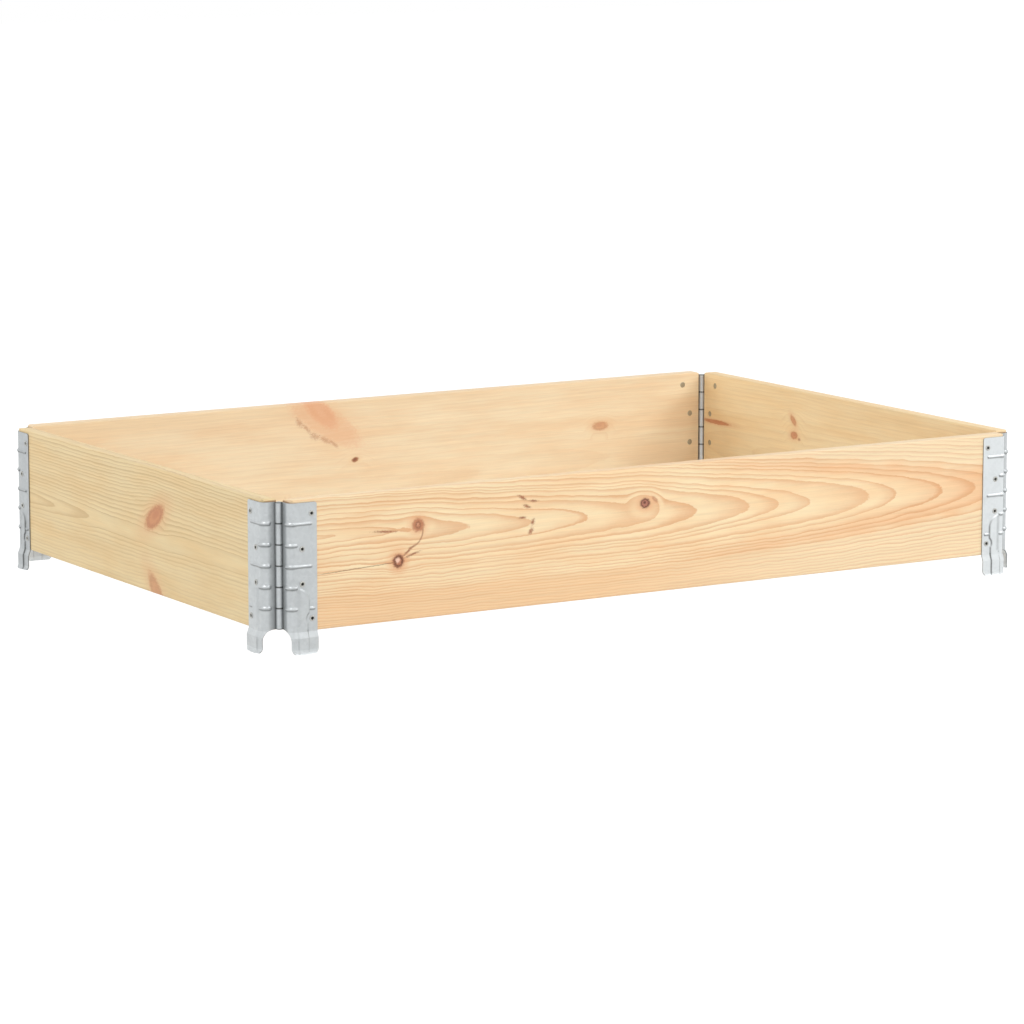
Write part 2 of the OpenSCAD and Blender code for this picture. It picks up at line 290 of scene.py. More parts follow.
# The rings lie round a pith that runs along the board, at a depth and a height that change with the
# place along it, so that the faces show tall arches. Years holds the ends of the first rings, as
# distances from the pith; the rest are one ring wide.
boards = {
    "front": {
        "pale": tone(247, 224, 182), "warm": tone(244, 209, 163), "late": tone(216, 150, 98),
        "pithDepth": 37.0, "depthSlope": 0.066, "slopeFrom": -900.0,
        "pithHeight": 138.0, "heightSlope": -0.022,
        "years": (4.0, 10.0, 16.5, 22.9, 29.1, 35.9, 40.2, 46.3, 49.5, 52.8, 58.8, 62.9, 68.0, 71.8),
        "ring": 3.7, "wander": 3.0, "waves": 6.0, "contrast": 1.0, "plainBelow": 0.0,
        "sapFrom": 77.0, "sapNear": tone(241, 203, 157), "sapFar": tone(242, 219, 180), "red": 0.5,
        "knots": [
            knotAt((-385, 153), "brown", size=(9, 9), depth=0.85, push=8, lift=1.5),
            knotAt((-415, 108), "dark", size=(9, 9.5), depth=0.95, push=10),
            knotAt((-33, 152), "black", size=(8, 7), depth=1.0, push=13, lift=4),
            knotAt((-17, 156), "brown", size=(5, 3.5), depth=0.45, slant=-0.6),
        ],
        "markDepth": 0.85, "markTone": tone(150, 82, 50),
        "marks": [
            {"at": (-434, 148.5), "size": (17, 1.6), "slant": -0.06},
            {"at": (-226, 175.5), "size": (6.5, 2.6), "slant": -0.45},
            {"at": (-209, 170), "size": (6.5, 1.7), "slant": -0.1},
            {"at": (-219, 163.5), "size": (6, 2.4), "slant": -0.3},
            {"at": (-226, 149), "size": (6, 1.6), "slant": 0.0},
            {"at": (-210, 142), "size": (3.2, 4.2), "slant": 0.4},
            {"at": (-213, 130), "size": (4.0, 4.0), "slant": 0.5},
            {"at": (-400, 120), "size": (9, 2.2), "slant": 0.75},
            {"at": (-394, 115), "size": (12, 1.6), "slant": 0.3},
        ],
        "arc": {"at": (-400, 146), "radius": 22.0, "edge": (1.92, 0.1), "wander": 2.0, "depth": 0.6},
        "crack": {
            "start": (-540, 100.5), "end": (-424, 106.5), "fade": (20.0, 4.0),
            "edge": (1.0, 0.15), "wander": 2.0, "depth": 0.8,
        },
    },
    "left": {
        "pale": tone(236, 213, 166), "warm": tone(232, 202, 150), "late": tone(186, 148, 94),
        "pithDepth": 22.0, "depthSlope": -0.036, "slopeFrom": 95.0,
        "pithHeight": 106.0, "heightSlope": 0.0,
        "years": (4.0, 8.8, 13.2, 17.2, 21.8, 26.0, 30.6, 34.6, 39.2),
        "ring": 4.5, "wander": 3.0, "waves": 2.0, "contrast": 0.85, "plainBelow": 95.0,
        "sapFrom": 96.0, "sapNear": tone(236, 210, 160), "sapFar": tone(238, 214, 167), "red": 0.0,
        "knots": [
            knotAt((-63, 134), "red", size=(29, 15), depth=0.8, slant=-0.45, push=18, lift=4),
            knotAt((-68, 29), "red", size=(26, 19), depth=0.6, slant=0.8, push=14, lift=3),
        ],
        "markDepth": 0.85, "markTone": tone(150, 82, 50),
        "marks": [],
        "arc": None, "crack": None,
    },
    "back": {
        "pale": tone(246, 224, 187), "warm": tone(242, 211, 170), "late": tone(228, 186, 140),
        "pithDepth": 58.0, "depthSlope": 0.012, "slopeFrom": -900.0,
        "pithHeight": 70.0, "heightSlope": 0.03,
        "years": (), "ring": 4.2, "wander": 5.0, "waves": 2.0, "contrast": 0.34, "plainBelow": 0.0,
        "sapFrom": 140.0, "sapNear": tone(243, 216, 176), "sapFar": tone(243, 214, 174), "red": 0.0,
        "knots": [
            knotAt((-95, 170), "stain", size=(60, 25), depth=0.34, slant=-0.52, push=14),
            knotAt((-104, 187), "stain", size=(29, 19), depth=0.46, slant=-0.7),
            knotAt((-45, 110.5), "small", size=(6.0, 3.6), depth=0.9, slant=0.2, push=8, lift=4),
            knotAt((390, 129), "red", size=(14, 7), depth=0.6, push=12, lift=5),
        ],
        "markDepth": 0.40, "markTone": tone(160, 72, 34),
        "marks": [
            {"at": (-140, 173), "size": (6.0, 6.0), "slant": -0.8},
            {"at": (-127, 163), "size": (7.0, 4.0), "slant": -0.9},
            {"at": (-114, 151), "size": (7.0, 5.0), "slant": -0.2},
            {"at": (-96, 144), "size": (9.0, 4.5), "slant": -0.5},
            {"at": (-81, 137), "size": (7.0, 3.6), "slant": -0.7},
        ],
        "arc": None, "crack": None,
    },
    "right": {
        "pale": tone(246, 219, 172), "warm": tone(243, 209, 157), "late": tone(219, 176, 121),
        "pithDepth": 46.0, "depthSlope": 0.03, "slopeFrom": -900.0,
        "pithHeight": 88.0, "heightSlope": 0.02,
        "years": (), "ring": 4.6, "wander": 5.0, "waves": 2.0, "contrast": 0.36, "plainBelow": 0.0,
        "sapFrom": 140.0, "sapNear": tone(241, 210, 162), "sapFar": tone(240, 209, 160), "red": 0.0,
        "knots": [
            knotAt((129, 154), "red", size=(8, 6.5), depth=0.7, slant=0.6, push=12, lift=5),
            knotAt((338, 126), "red", size=(36, 3.4), depth=0.85),
            knotAt((127, 131.5), "red", size=(9.5, 6), depth=0.8, push=10, lift=5),
        ],
        "markDepth": 0.70, "markTone": tone(150, 82, 50),
        "marks": [
            {"at": (113.5, 126.5), "size": (3.4, 2.4), "slant": 0.0},
        ],
        "arc": None, "crack": None,
    },
}
knotTones = {
    "dark": {
        "halo": tone(228, 166, 120), "body": tone(186, 120, 88),
        "rim": tone(92, 48, 28), "heart": tone(238, 196, 172),
        "ringAt": 0.68, "ringWide": 0.36, "heartSize": 0.42,
    },
    "brown": {
        "halo": tone(228, 166, 120), "body": tone(178, 110, 76),
        "rim": tone(128, 66, 42), "heart": tone(206, 146, 116),
        "ringAt": 0.40, "ringWide": 0.26, "heartSize": 0.20,
    },
    "black": {
        "halo": tone(228, 170, 124), "body": tone(176, 116, 94),
        "rim": tone(86, 44, 32), "heart": tone(110, 64, 50),
        "ringAt": 0.82, "ringWide": 0.40, "heartSize": 0.30,
    },
    "small": {
        "halo": tone(238, 202, 156), "body": tone(158, 92, 60),
        "rim": tone(176, 112, 78), "heart": tone(122, 64, 42),
        "ringAt": 0.95, "ringWide": 0.30, "heartSize": 0.55,
    },
    "red": {
        "halo": tone(228, 178, 130), "body": tone(204, 134, 92),
        "rim": tone(184, 112, 74), "heart": tone(194, 118, 80),
        "ringAt": 0.75, "ringWide": 0.30, "heartSize": 0.40,
    },
    "stain": {
        "halo": tone(240, 196, 152), "body": tone(233, 164, 122),
        "rim": tone(226, 152, 110), "heart": tone(235, 172, 132),
        "ringAt": 0.55, "ringWide": 0.60, "heartSize": 0.50,
    },
}
woodTones = {
    "resin": tone(150, 82, 50), "crack": tone(128, 82, 46), "redBand": tone(233, 174, 126),
    "endGrainAndShade": tone(132, 92, 58),
}


# Noises of the wood: their waves per millimetre along, into and up the board, and a shift up it
woodNoises = {
    "slow": {"scale": (1 / 240, 1 / 90, 1 / 160), "shift": 0.0, "detail": 2.0, "rough": 0.5},
    "drift": {"scale": (1 / 150, 1 / 120, 1 / 300), "shift": 7.0, "detail": 1.0, "rough": 0.5},
    "waves": {"scale": (1 / 62, 1 / 60, 1 / 48), "shift": 0.0, "detail": 2.0, "rough": 0.5},
    "ripples": {"scale": (1 / 26, 1 / 30, 1 / 17), "shift": 3.0, "detail": 2.0, "rough": 0.5},
    "ragged": {"scale": (1 / 4.5, 1 / 4.5, 1 / 3), "shift": 0.0, "detail": 3.0, "rough": 0.65},
    "torn": {"scale": (1 / 2.4, 1 / 2.4, 1 / 1.7), "shift": 0.0, "detail": 3.0, "rough": 0.7},
    "fibre": {"scale": (1 / 45, 1.1, 1.1), "shift": 0.0, "detail": 4.0, "rough": 0.6},
    "fleck": {"scale": (1 / 7, 2.4, 2.4), "shift": 0.0, "detail": 2.0, "rough": 0.5},
    "patch": {"scale": (1 / 130, 1 / 40, 1 / 26), "shift": 0.0, "detail": 3.0, "rough": 0.5},
    "streak": {"scale": (1 / 210, 1 / 5, 1 / 5), "shift": 0.0, "detail": 3.0, "rough": 0.6},
}

# How the wood is drawn. A pair is where a thing starts and where it is full, or its two levels.
woodLook = {
    "partLong": 0.35, "partRoom": 1.15,          # how the rings part round a knot
    "liftSize": (34.0, 26.0),                    # half sizes of the bulge round a knot
    "ripple": 3.0, "ragged": 0.16,               # how far noise moves the rings, in mm and in rings
    "uneven": 4.0, "unevenScale": (1 / 9, 1 / 900),
    "slowLate": (0.15, 0.97), "slowPower": 1.6, "slowEnd": (1.0, 0.95), "slowStrength": (0.25, 0.75),
    "sharpLate": (0.72, 0.95), "sharpEnd": (1.0, 0.96), "sharpStrength": (0.75, 0.45),
    "clouds": (0.2, 0.7), "cloudLevel": (0.65, 1.0), "plainEdge": (-40.0, 20.0), "plainLevel": (0.5, 1.0),
    "sapEdge": (-5.0, 6.0), "sapWaves": 14.0, "sapPlain": 0.25, "sapDepth": 0.85, "sapAlong": (-150, 330),
    "redEdge": (-18.0, -4.0), "redAlong": (-80, 260),
    "patch": (0.30, 0.72), "fleck": (0.62, 0.78), "fibre": (0.2, 0.8), "streak": (0.25, 0.75),
    "shade": 0.905, "fibreShade": 0.10, "streakShade": 0.07, "fleckShade": 0.05,
    "endEdge": (2.0, 0.4), "endDepth": 0.85,
    "bump": 0.30, "bumpDepth": 0.0005, "fibreHigh": 0.5, "lateLow": 0.7, "fleckLow": 0.4,
    "rough": 0.56, "lateGloss": 0.12, "fibreRough": 0.12, "specular": 0.45,
}

# How knots and marks are drawn, in their own sizes: 1 is a knot's edge
knotLook = {
    "ragged": 0.7, "torn": 0.4, "edge": (1.25, 0.7), "halo": (2.5, 0.8), "haloDepth": 0.6,
    "heartAt": (-0.12, 0.15), "heartTorn": 0.5, "heartEdge": (1.3, 0.5),
    "rimTorn": (0.25, 0.6), "rimLevel": (0.3, 1.0),
    "markTorn": 2.6, "markEdge": (1.5, 0.1),
    "arcLeft": (-2.0, 4.0), "arcTop": (4.0, 0.0), "crackLevel": (0.4, 1.2),
}


# One of the noises at a place on the board
def woodNoise(paint, spot, label):
    noise = woodNoises[label]
    values = {0: spot, 1: noise["scale"], 2: (0.0, 0.0, noise["shift"])}
    stretched = paint.add("ShaderNodeVectorMath", {"operation": "MULTIPLY_ADD"}, values)
    return paint.noise(stretched, 1.0, noise["detail"], noise["rough"])


# Place from the middle of a knot or mark, in its own sizes
def knotPlace(along, height, knot):
    side = along - knot["at"][0]
    lift = height - knot["at"][1] - side * knot["slant"]
    return side / knot["size"][0], lift / knot["size"][1]


# Rings out to a distance from the pith: one for each of the years, then one for each ring's width
def ringCount(distance, board):
    years = (0.0,) + board["years"]
    count = (distance - years[-1]).over(0.0) / board["ring"]
    for first, last in zip(years, years[1:]):
        count = count + distance.step(first, last)
    return count


# A halo, then the knot's body with its heart and its torn ring
def paintKnot(colour, along, height, ragged, torn, knot):
    tones = knotTones[knot["kind"]]
    look = knotLook
    side, lift = knotPlace(along, height, knot)
    reach = side.hypot(lift) + ragged.swing(look["ragged"]) + torn.swing(look["torn"])
    colour = (reach.ease(*look["halo"]) * (knot["depth"] * look["haloDepth"])).colour(colour, tones["halo"])
    middle = (side - look["heartAt"][0]).hypot(lift - look["heartAt"][1]) + torn.swing(look["heartTorn"])
    heartEdge = [tones["heartSize"] * share for share in look["heartEdge"]]
    body = middle.ease(*heartEdge).colour(tones["body"], tones["heart"])
    rim = (reach - tones["ringAt"]).size().ease(tones["ringWide"], 0.0)
    rim = rim * torn.ease(*look["rimTorn"]).between(*look["rimLevel"])
    body = rim.colour(body, tones["rim"])
    return (reach.ease(*look["edge"]) * knot["depth"]).colour(colour, body)


def paintMark(colour, along, height, torn, mark, board):
    side, lift = knotPlace(along, height, mark)
    reach = side.hypot(lift) + torn.swing(knotLook["markTorn"])
    return (reach.ease(*knotLook["markEdge"]) * board["markDepth"]).colour(colour, board["markTone"])


# A quarter of a ring, right of its middle and below it
def paintArc(colour, along, height, ragged, arc):
    side = along - arc["at"][0]
    lift = height - arc["at"][1] + ragged.swing(arc["wander"])
    gap = (side.hypot(lift) - arc["radius"]).size()
    inside = side.ease(*knotLook["arcLeft"]) * lift.ease(*knotLook["arcTop"])
    return (gap.ease(*arc["edge"]) * inside * arc["depth"]).colour(colour, woodTones["resin"])


def paintCrack(colour, along, height, ragged, torn, crack):
    start, end = crack["start"], crack["end"]
    line = (along - start[0]) * ((end[1] - start[1]) / (end[0] - start[0])) + start[1]
    gap = (height - line - ragged.swing(crack["wander"])).size()
    inside = along.ease(start[0], start[0] + crack["fade"][0]) * along.ease(end[0] + crack["fade"][1], end[0])
    depth = gap.ease(*crack["edge"]) * inside * torn.between(*knotLook["crackLevel"]) * crack["depth"]
    return depth.colour(colour, woodTones["crack"])


def pineMaterial(name, board, axis, inward, skin, half):
    look = woodLook
    material, paint = newMaterial("pine_" + name)
    place = paint.add("ShaderNodeTexCoord", {}, {}, "Object")
    x, y, z = [paint.add("ShaderNodeSeparateXYZ", {}, {"Vector": place}, part) for part in "XYZ"]
    along = (x, y)[axis] * toMm
    depth = ((x, y)[1 - axis] - skin) * (toMm * inward)
    height = z * toMm
    spot = paint.vector(along, depth, height)
    slow, drift, waves, ripples = [woodNoise(paint, spot, n) for n in ("slow", "drift", "waves", "ripples")]
    ragged, torn, fibre = [woodNoise(paint, spot, n) for n in ("ragged", "torn", "fibre")]
    fleck, patch, streak = [woodNoise(paint, spot, n).ease(*look[n]) for n in ("fleck", "patch", "streak")]

    # The rings part round each knot, as a stream parts round a post
    level = height
    for knot in board["knots"]:
        if knot["push"]:
            side, up = along - knot["at"][0], height - knot["at"][1]
            room = knot["push"] ** 2
            away = side * side * look["partLong"] + up * up + (room * look["partRoom"] + 1)
            level = level - up * (room / away)

    # Distance from the pith, counted in rings: each darkens slowly and ends sharply
    across = level - board["pithHeight"] - along * board["heightSlope"] - drift.swing(board["wander"])
    across = across + waves.swing(board["waves"]) + ripples.swing(look["ripple"])
    slope = along.over(board["slopeFrom"]) * board["depthSlope"]
    deep = depth + board["pithDepth"] + slope + slow.swing(board["wander"])
    distance = across.hypot(deep)
    for knot in board["knots"]:
        if knot["lift"]:
            side = (along - knot["at"][0]) / look["liftSize"][0]
            up = (height - knot["at"][1]) / look["liftSize"][1]
            distance = distance - (side * side + up * up).ease(1.0, 0.0) * knot["lift"]
    ringWide, ringLong = look["unevenScale"]
    uneven = paint.noise(paint.vector(distance * ringWide, along * ringLong, 0.0), 1.0)
    growth = ringCount(distance + uneven.swing(look["uneven"]), board) + ragged.swing(look["ragged"])
    year = growth.part()
    strength = paint.add("ShaderNodeTexWhiteNoise", {"noise_dimensions": "1D"}, {"W": growth.whole()})
    slowLate = year.ease(*look["slowLate"]) ** look["slowPower"] * year.ease(*look["slowEnd"])
    slowLate = slowLate * strength.between(*look["slowStrength"])
    sharpLate = year.ease(*look["sharpLate"]) * year.ease(*look["sharpEnd"])
    sharpLate = sharpLate * strength.between(*look["sharpStrength"])
    clouds = slow.ease(*look["clouds"]).between(*look["cloudLevel"])
    plainEdge = [board["plainBelow"] + edge for edge in look["plainEdge"]]
    plain = height.ease(*plainEdge).between(*look["plainLevel"])
    late = slowLate.over(sharpLate) * clouds * board["contrast"] * plain

    # Heartwood inside, plainer sapwood outside it, and on one board a red band between them
    sapEdge = [board["sapFrom"] + edge for edge in look["sapEdge"]]
    sap = (distance + waves.swing(look["sapWaves"])).ease(*sapEdge)
    late = late * (1 - sap * look["sapPlain"])
    sapTone = along.ease(*look["sapAlong"]).colour(board["sapNear"], board["sapFar"])
    colour = patch.colour(board["pale"], board["warm"])
    colour = (sap * look["sapDepth"]).colour(colour, sapTone)
    if board["red"]:
        redEdge = [board["sapFrom"] + edge for edge in look["redEdge"]]
        band = distance.ease(*redEdge) * (1 - sap) * along.ease(*look["redAlong"])
        colour = (band * board["red"]).colour(colour, woodTones["redBand"])
    colour = late.colour(colour, board["late"])
    shade = fibre.ease(*look["fibre"]) * look["fibreShade"] + streak * look["streakShade"] + look["shade"]
    colour = colour.shaded(shade - fleck * look["fleckShade"])

    # Knots, resin marks, the crack and the cut ends, darkened as end grain and as painted shade
    for knot in board["knots"]:
        colour = paintKnot(colour, along, height, ragged, torn, knot)
    for mark in board["marks"]:
        colour = paintMark(colour, along, height, torn, mark, board)
    if board["arc"]:
        colour = paintArc(colour, along, height, ragged, board["arc"])
    if board["crack"]:
        colour = paintCrack(colour, along, height, ragged, torn, board["crack"])
    # The cut ends darken: end grain, and painted shade for the slits between the hinges' parts
    endEdge = [half - edge for edge in look["endEdge"]]
    colour = (along.size().ease(*endEdge) * look["endDepth"]).colour(colour, woodTones["endGrainAndShade"])

    relief = fibre * look["fibreHigh"] - late * look["lateLow"] - fleck * look["fleckLow"]
    bumpValues = {"Strength": look["bump"], "Distance": look["bumpDepth"], "Height": relief}
    values = {
        "Base Color": colour,
        "Roughness": look["rough"] - late * look["lateGloss"] + fibre.swing(look["fibreRough"]),
        "Specular IOR Level": look["specular"],
        "Normal": paint.add("ShaderNodeBump", {}, bumpValues),
    }
    closeMaterial(paint, values)
    return material


def dressBoards():
    for name, board in boards.items():
        low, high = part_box(name + "_board")
        axis = 0 if name in ("front", "back") else 1
        outwardLow = name in ("front", "left")
        skin = (low if outwardLow else high)[1 - axis]
        half = (high[axis] - low[axis]) / 2 * toMm
        material = pineMaterial(name, board, axis, 1 if outwardLow else -1, skin, half)
        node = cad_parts[name + "_board"]
        node.data.materials.clear()
        node.data.materials.append(material)


dressBoards()
print("collar: boards dressed")


# Zinc coated steel
# The last tone of each steel is laid where painted shade falls, in creases, hollows and gaps, and on faint
# stains
steels = {
    "leaf": {
        "bright": tone(219, 223, 224), "dull": tone(166, 170, 171), "paintedShadeAndSoil": tone(74, 75, 73),
        "spangle": 260.0,
    },
    "fastener": {
        "bright": tone(190, 191, 187), "dull": tone(178, 167, 138), "paintedShadeAndSoil": tone(92, 89, 80),
        "spangle": 420.0,
    },
    "pin": {
        "bright": tone(200, 202, 200), "dull": tone(178, 180, 177), "paintedShadeAndSoil": tone(92, 89, 80),
        "spangle": 420.0,
    },
}
steelLook = {
    "cloudScale": 38.0, "cloudDetail": 4.0, "grainScale": 900.0, "grainDetail": 3.0, "noiseRough": 0.6,
    "dull": 0.66, "dullCell": 0.12, "dullCloud": 0.30,
    "grainEdge": (0.2, 0.6), "grainLevel": (0.65, 1.0), "stainEdge": (0.58, 0.8), "stain": 0.06,
    "rimShadeAndSoil": 0.55, "rough": 0.34, "roughCell": 0.05, "roughCloud": 0.08, "roughShadeAndSoil": 0.25,
    "bump": 0.12, "bumpDepth": 0.0003, "cloudHigh": 0.6, "grainHigh": 0.4, "metallic": 0.7,
}


# Two point attributes, painted shade in creases, hollows and gaps and the brightness of the zinc,
# partly painted light, and a face attribute, rim, on the cut edges; a mesh without them is plain
def steelMaterial(name):
    steel, look = steels[name], steelLook
    material, paint = newMaterial("zinc_" + name)
    place = paint.add("ShaderNodeTexCoord", {}, {}, "Object")
    cells = paint.add("ShaderNodeTexVoronoi", {}, {"Vector": place, "Scale": steel["spangle"]}, "Color")
    cell = paint.add("ShaderNodeSeparateColor", {}, {"Color": cells})
    cloud = paint.noise(place, look["cloudScale"], look["cloudDetail"], look["noiseRough"])
    grain = paint.noise(place, look["grainScale"], look["grainDetail"], look["noiseRough"])
    labels = ("paintedShadeAndSoil", "rim", "zincAndLight")
    laid, rim, zincAndLight = [paint.add("ShaderNodeAttribute", {"attribute_name": n}, {}, "Fac") for n in labels]
    # The zinc attribute brightens the zinc: real wear, and painted light that makes some leaves and the leg's
    # slopes lighter
    dullness = cell * look["dullCell"] + cloud * look["dullCloud"] + look["dull"] - zincAndLight
    colour = dullness.over(0.0).under(1.0).colour(steel["bright"], steel["dull"])
    # Painted shade from the attribute, broken up by grain, plus faint real stains from the cloud noise
    paintedShadeAndSoil = laid * grain.ease(*look["grainEdge"]).between(*look["grainLevel"])
    paintedShadeAndSoil = paintedShadeAndSoil + cloud.ease(*look["stainEdge"]) * look["stain"]
    # The cut edges get at least this much: their own darker edge, and painted shade
    paintedShadeAndSoil = paintedShadeAndSoil.over(rim * look["rimShadeAndSoil"]).under(1.0)
    relief = cloud * look["cloudHigh"] + grain * look["grainHigh"]
    rough = cell * look["roughCell"] + cloud * look["roughCloud"] + paintedShadeAndSoil * look["roughShadeAndSoil"] + look["rough"]
    bumpValues = {"Strength": look["bump"], "Distance": look["bumpDepth"], "Height": relief}
    values = {
        "Base Color": paintedShadeAndSoil.colour(colour, steel["paintedShadeAndSoil"]),
        "Roughness": rough,
        "Metallic": look["metallic"],
        "Normal": paint.add("ShaderNodeBump", {}, bumpValues),
    }
    closeMaterial(paint, values)
    return material


leafSteel = steelMaterial("leaf")
fastenerSteel = steelMaterial("fastener")
pinSteel = steelMaterial("pin")
print("collar: steel mixed")


# Mesh helpers
sharpAngle = 38.0        # degrees; edges that turn more are shown sharp
tiny = 1e-12             # so that nothing is divided by nought


# Quads of a grid whose rows go up and whose columns go along, facing columns x rows
def gridFaces(rows, columns):
    index = np.arange(rows * columns).reshape(rows, columns)
    return np.stack([index[:-1, :-1], index[:-1, 1:], index[1:, 1:], index[1:, :-1]], -1).reshape(-1, 4)


# Each point's normal: the sum of the cross products of the quads' diagonals round it, made unit
def pointNormals(points, faces):
    a, b, c, d = [points[faces[:, k]] for k in range(4)]
    crossed = np.cross(c - a, d - b)
    total = np.zeros_like(points)
    for k in range(4):
        np.add.at(total, faces[:, k], crossed)
    return total / np.maximum(np.linalg.norm(total, axis=1, keepdims=True), tiny)


# A sheet gets its thickness: a copy one thickness behind it, joined to it along every free edge
def thicken(points, faces, thickness):
    behind = points - pointNormals(points, faces) * thickness
    count = len(points)
    starts = faces.ravel()
    stops = np.roll(faces, -1, axis=1).ravel()
    free = ~np.isin(starts * count + stops, stops * count + starts)
    starts, stops = starts[free], stops[free]
    rim = np.stack([stops, starts, starts + count, stops + count], -1)
    onRim = np.repeat([0.0, 0.0, 1.0], [len(faces), len(faces), len(rim)])
    return np.vstack([points, behind]), np.vstack([faces, faces[:, ::-1] + count, rim]), onRim


# The piece for one end of a board: a quarter turn for each side, and the second end mirrored
def seat(points, side, end):
    number = sides.index(side)
    turn = number * math.pi / 2
    low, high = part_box(pins[(number + end) % 4])
    axisX, axisY = (low.x + high.x) / 2, (low.y + high.y) / 2
    x = points[:, 0] * mm * (1 if end == 0 else -1)
    y = points[:, 1] * mm
    placedX = axisX + x * math.cos(turn) - y * math.sin(turn)
    placedY = axisY + x * math.sin(turn) + y * math.cos(turn)
    return np.stack([placedX, placedY, points[:, 2] * mm], -1)


def addPiece(name, points, faces, material, pointValues, faceValues):
    mesh = bpy.data.meshes.new(name)
    mesh.from_pydata(points.tolist(), [], faces)
    for label, values in pointValues.items():
        mesh.attributes.new(label, "FLOAT", "POINT").data.foreach_set("value", values)
    for label, values in faceValues.items():
        mesh.attributes.new(label, "FLOAT", "FACE").data.foreach_set("value", values)
    mesh.materials.append(material)
    mesh.shade_smooth()
    mesh.set_sharp_from_angle(angle=math.radians(sharpAngle))
    piece = bpy.data.objects.new(name, mesh)
    scene.collection.objects.link(piece)
    return piece


# Pressed hinge leaves. Sizes are in millimetres, from the hinge axis at the board's end.
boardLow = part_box("front_board")[0]
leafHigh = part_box("front_leaf_left")[1]
pinLow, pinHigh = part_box("front_left_pin")
leafSettings = {
    "sheet": 1.5, "bend": 9.0, "width": 40.5, "cap": 3.0, "notch": 3.8,
    "skin": ((pinLow.y + pinHigh.y) / 2 - boardLow.y) / mm,
    "top": leafHigh.z / mm, "boardBottom": boardLow.z / mm, "bottomGap": 2.0, "rows": 6,
    "topCorner": 3.0, "footCorner": 7.0, "legCurve": 15.0,
    "step": 3.0, "stepHeight": 8.0, "flare": 2.0, "flareHeight": 6.0, "flarePower": 2.2,
    "beadHalf": 2.9, "beadHeight": 1.4, "beadSwell": 0.3, "beadEnd": 2.5,
    "beadLong": 34.0, "beadShort": 13.0, "beadOuter": 33.0,
    "panelHeight": 1.5, "panelFrom": 10.5, "panelSlow": 0.72, "slowHeight": 6.0, "arch": 18.5, "archBead": 3,
    "ribWidth": 16.5, "wall": 1.0, "wallFoot": 0.2, "land": 8.0,
    "rivetFar": 33.0, "rivetNear": 19.0, "rivetEdge": 14.5, "rivets": 4, "rivetHole": 2.5,
    "bore": 3.05, "rollEnd": 300.0, "rollSteps": 48, "knuckleGap": 0.4,
    # Painted shade at each knuckle's two ends, for the gaps between knuckles, at these heights in from the
    # end
    "knuckleEdge": (0.0, 0.5, 1.2), "edgeShade": (1.0, 0.8, 0.0),
    # Painted shade: in the groove beside the knuckles, on flanks that face down, along the walls, and its
    # upper limits
    "groove": 11.0, "grooveShade": 0.55, "underShade": 0.8, "mostShade": 0.65, "wallShadeMost": 0.2,
    # worn: brighter zinc on the step and lip, both wear and painted sheen
    "wornAndSheen": 0.22, "wavy": 0.10, "gridRows": 250, "gridColumns": 72,
}

# Where the rows of the grid lie closer: how much closer, and within how many millimetres
rowWeights = {
    "samples": 4000, "bead": (1.6, 3.5), "leg": (1.4, 2.0), "bottom": (8.0, 0.8), "end": (3.0, 1.5),
}

# How bright each leaf's zinc is, painted light that stands in for how much light falls on that leaf,
# and how much painted shade lies along its pressed walls
leafPaintedLight = {
    "front_leaf_right": {"zincAndLight": 0.85, "wallShade": 0.9},
    "left_leaf_back": {"zincAndLight": 0.15, "wallShade": 1.0},
    "others": {"zincAndLight": 0.40, "wallShade": 0.25},
}


# Lower edge of the leaf's face, where the leg starts
def faceBottom(leaf):
    return leaf["boardBottom"] + leaf["bottomGap"]


# Heights between the rows of knuckles, where the beads lie, from the top down
def rowBreaks(leaf):
    return leaf["top"] - np.arange(1, leaf["rows"]) * (leaf["top"] - faceBottom(leaf)) / leaf["rows"]


# The way along the sheet from the cap's edge to the bend, and to the end of the bend
def bendStart(leaf):
    return leaf["skin"] + leaf["sheet"] - leaf["bend"] - leaf["notch"]


def bendStop(leaf):
    return bendStart(leaf) + leaf["bend"] * math.pi / 2


def rivetPlaces(leaf):
    last = faceBottom(leaf) + leaf["rivetEdge"]
    heights = np.linspace(leaf["top"] - leaf["rivetEdge"], last, leaf["rivets"])
    outer = [leaf["rivetFar"]] + [leaf["rivetNear"]] * (leaf["rivets"] - 2) + [leaf["rivetFar"]]
    return np.array(outer), heights


# A smooth step from 0 at low to 1 at high: 3t^2 - 2t^3
def rise(value, low, high):
    part = np.clip((value - low) / (high - low), 0, 1)
    return part * part * (3 - 2 * part)


# How far the leg stands out of the board's plane at a height: a step, straight, then a flared lip
def legOut(leaf, z):
    step = leaf["step"] * np.clip((leaf["boardBottom"] - z) / leaf["stepHeight"], 0, 1)
    lip = np.clip((leaf["flareHeight"] - z) / leaf["flareHeight"], 0, 1)
    return step + leaf["flare"] * lip ** leaf["flarePower"]


